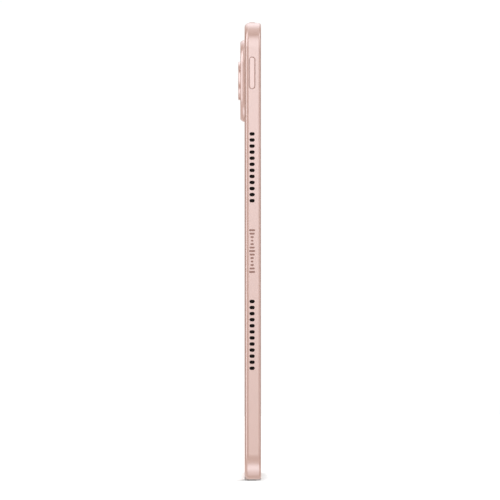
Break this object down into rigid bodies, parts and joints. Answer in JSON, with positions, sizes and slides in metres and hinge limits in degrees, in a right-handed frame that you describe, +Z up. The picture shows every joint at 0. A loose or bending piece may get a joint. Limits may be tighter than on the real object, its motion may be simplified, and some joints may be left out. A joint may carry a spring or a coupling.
{
  "type": "tablet computer",
  "caption": "Thin slab tablet computer with a glass front, rounded metal housing, raised camera island, edge buttons, speaker grilles, a USB-C port and a memory card tray.",
  "frame": {"origin": "middle of the lower long edge, at half the body's thickness", "axes": "+X along the long side, -Y the way the screen faces, +Y the back, +Z up along the short side"},
  "size_m": [0.2795, 0.0091, 0.1814],
  "materials": {
    "rose_aluminium": "satin anodised",
    "rose_polished": "polished anodised",
    "cover_glass": "polished, black border",
    "clear_glass": "polished, coated",
    "lcd_cell": "gloss black polariser",
    "optical_film": "translucent",
    "silver_film": "mirror-like film",
    "black_plastic": "matte",
    "white_plastic": "matte",
    "amber_flex": "satin polyimide",
    "graphite": "dull grey film",
    "sheet_steel": "satin",
    "black_steel": "blackened",
    "bright_steel": "bright nickel",
    "gold": "gold plated",
    "circuit_board": "solder mask",
    "chip_epoxy": "matte",
    "battery_pouch": "laminated foil",
    "tape": "translucent tape",
    "led_yellow": "phosphor"
  },
  "bodies": {
    "tablet": {"rear_housing": "rose_aluminium", "display_frame": "black_plastic", "cover_glass": "cover_glass", "lcd_panel": "lcd_cell", "diffuser_sheets": "optical_film", "light_guide": "optical_film", "reflector_sheet": "silver_film", "backlight_tray": "sheet_steel", "backlight_leds": "led_yellow", "display_flex": "amber_flex", "graphite_sheet": "graphite", "camera_island": "rose_aluminium", "camera_ring": "rose_polished", "camera_window": "clear_glass", "rear_camera_housing": "black_steel", "rear_camera_board": "circuit_board", "rear_camera_flex": "amber_flex", "flash_lens": "optical_film", "flash_led": "led_yellow", "front_camera_housing": "black_steel", "front_camera_lens": "clear_glass", "light_sensor": "chip_epoxy", "microphones": "bright_steel", "power_switch": "sheet_steel", "power_bracket": "sheet_steel", "volume_switches": "sheet_steel", "volume_bracket": "sheet_steel", "button_flex": "amber_flex", "speaker_lower_left": "black_plastic", "speaker_mesh_lower_left": "black_steel", "speaker_upper_left": "black_plastic", "speaker_mesh_upper_left": "black_steel", "speaker_lower_right": "black_plastic", "speaker_mesh_lower_right": "black_steel", "speaker_upper_right": "black_plastic", "speaker_mesh_upper_right": "black_steel", "battery_cell_left": "battery_pouch", "battery_cell_right": "battery_pouch", "battery_board": "circuit_board", "battery_tapes": "tape", "main_board": "circuit_board", "board_chips": "chip_epoxy", "board_shields": "bright_steel", "board_connectors": "chip_epoxy", "card_socket": "sheet_steel", "usb_shell": "bright_steel", "usb_tongue": "black_plastic", "usb_contacts": "gold", "usb_board": "circuit_board", "link_flex": "amber_flex", "wifi_antennas": "amber_flex", "contact_block": "black_plastic", "keyboard_contacts": "gold", "board_screws": "bright_steel", "speaker_screws": "bright_steel"},
    "power_button": {"power_button": "rose_polished"},
    "volume_rocker": {"volume_rocker": "rose_polished"},
    "card_tray": {"card_tray": "rose_aluminium"},
    "eject_rod": {"eject_rod": "sheet_steel"},
    "autofocus_barrel": {"rear_camera_lens": "black_plastic"}
  },
  "joints": [
    {"name": "power_press", "type": "slide", "parent": "tablet", "child": "power_button", "axis": [1, 0, 0], "range_m": [0, 0.00025], "stiffness_N_per_m": 4000, "springref_m": -0.0003},
    {"name": "volume_tilt", "type": "hinge", "parent": "tablet", "child": "volume_rocker", "pos_m": [-0.104, 0.00025, 0.1773], "axis": [0, 1, 0], "range_deg": [-1.2, 1.2], "stiffness_Nm_per_rad": 0.3},
    {"name": "card_tray_slide", "type": "slide", "parent": "tablet", "child": "card_tray", "axis": [0, 0, 1], "range_m": [0, 0.018]},
    {"name": "eject_press", "type": "slide", "parent": "tablet", "child": "eject_rod", "axis": [0, 0, -1], "range_m": [0, 0.0015], "stiffness_N_per_m": 800, "springref_m": -0.0003},
    {"name": "autofocus", "type": "slide", "parent": "tablet", "child": "autofocus_barrel", "axis": [0, 1, 0], "range_m": [0, 0.0003], "stiffness_N_per_m": 60, "springref_m": -0.0001}
  ]
}
